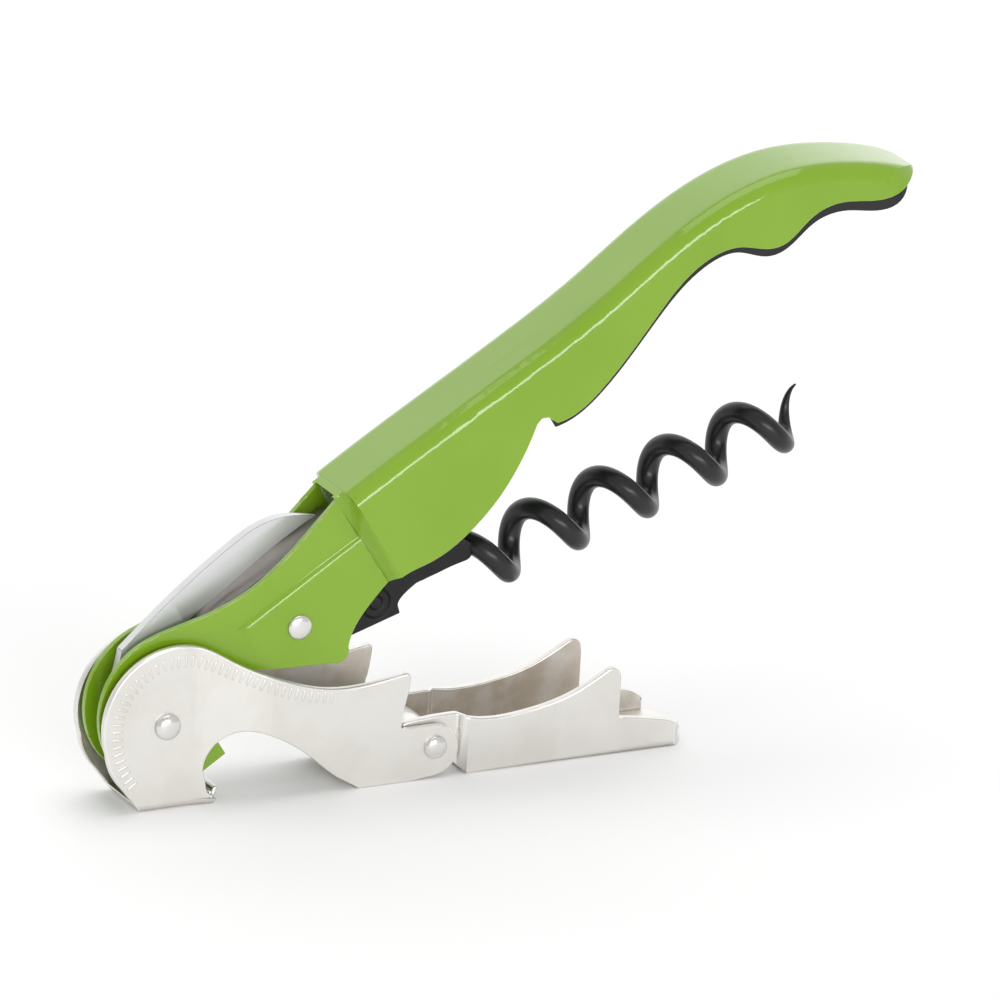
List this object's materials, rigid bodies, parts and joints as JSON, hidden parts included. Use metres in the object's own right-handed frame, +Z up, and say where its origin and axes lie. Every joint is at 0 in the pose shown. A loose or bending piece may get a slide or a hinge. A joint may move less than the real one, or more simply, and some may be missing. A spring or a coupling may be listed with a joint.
{
  "type": "lever corkscrew",
  "caption": "Folding lever corkscrew: slim folded-metal handle, two-step hinged lever with cap lifter, coiled worm on a swinging arm and a small foil blade.",
  "frame": {"origin": "on the flat bottom of the first lever, straight under the pin that joins lever and handle", "axes": "+X along the lever towards its nose, +Y across the tool to the far side, +Z up, as the tool stands on its lever with the handle 33 degrees open"},
  "size_m": [0.1034, 0.0128, 0.0703],
  "materials": {
    "green_lacquer": "glossy lacquer",
    "black_liner": "glossy",
    "spring_steel": "satin",
    "pin_nickel": "polished nickel",
    "lever_nickel": "tumbled satin nickel",
    "black_casting": "satin black",
    "black_coating": "satin black non-stick coating",
    "blade_steel": "polished"
  },
  "bodies": {
    "handle": {"handle_shell": "green_lacquer", "grip_liner": "black_liner", "back_spring": "spring_steel", "lever_pivot_pin": "pin_nickel", "worm_pin": "pin_nickel", "knife_washers": "spring_steel", "carrier_washers": "spring_steel"},
    "first_lever": {"first_lever": "lever_nickel", "lever_hinge_pin": "pin_nickel"},
    "pivot_washers": {"lever_washers": "spring_steel"},
    "hinge_sleeve": {"hinge_spacer": "pin_nickel"},
    "second_lever": {"second_lever": "lever_nickel"},
    "worm": {"worm_carrier": "black_casting", "worm": "black_coating"},
    "knife": {"foil_knife": "blade_steel"}
  },
  "joints": [
    {"name": "lever_swing", "type": "hinge", "parent": "handle", "child": "first_lever", "pos_m": [0, 0, 0.0104], "axis": [0, -1, 0], "range_deg": [-100, 31]},
    {"name": "end_lever_fold", "type": "hinge", "parent": "first_lever", "child": "second_lever", "pos_m": [0.03425, 0, 0.004], "axis": [0, -1, 0], "range_deg": [-52, 0]},
    {"name": "worm_fold", "type": "hinge", "parent": "handle", "child": "worm", "pos_m": [0.01668, 0, 0.02052], "axis": [0, -1, 0], "range_deg": [-68.75, 21.31]},
    {"name": "knife_open", "type": "hinge", "parent": "handle", "child": "knife", "pos_m": [0, 0, 0.0104], "axis": [0, -1, 0], "range_deg": [0, 120]},
    {"name": "pivot_washers_turn", "type": "hinge", "parent": "handle", "child": "pivot_washers", "pos_m": [0, 0, 0.0104], "axis": [0, -1, 0], "continuous": true},
    {"name": "hinge_sleeve_turn", "type": "hinge", "parent": "first_lever", "child": "hinge_sleeve", "pos_m": [0.03425, 0, 0.004], "axis": [0, -1, 0], "continuous": true}
  ],
  "couplings": [
    {"joint": "worm_fold", "follows": "lever_swing", "ratio": 0.6875}
  ]
}
